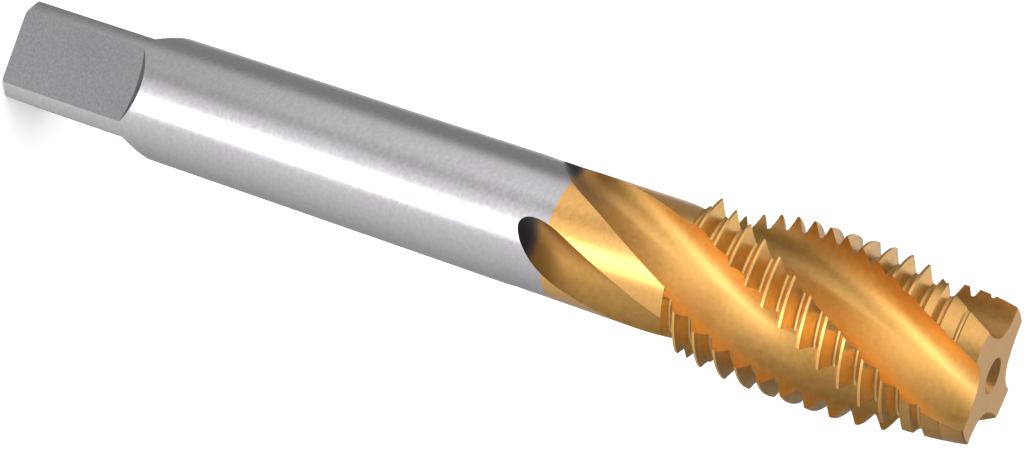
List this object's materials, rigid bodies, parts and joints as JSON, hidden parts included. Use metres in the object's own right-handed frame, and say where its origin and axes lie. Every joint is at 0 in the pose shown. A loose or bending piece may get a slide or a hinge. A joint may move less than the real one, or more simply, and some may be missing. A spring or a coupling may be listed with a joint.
{
  "type": "spiral flute machine tap",
  "caption": "Metric machine tap with a round shank, square drive, spiral flutes and a tapered lead, its working end coated gold.",
  "frame": {"origin": "centre of the drive end's flat face, on which the tap stands", "axes": "+Z along the axis of the tap, towards the cutting end; -Y square to one flat of the drive, the flat that faces the camera"},
  "size_m": [0.016, 0.016, 0.1033],
  "materials": {
    "tool_steel": "high speed steel, ground bright on the shank and square, with a satin gold titanium nitride coating on the fluted and threaded end"
  },
  "bodies": {
    "root": {"spiral_flute_tap": "tool_steel"}
  },
  "joints": []
}
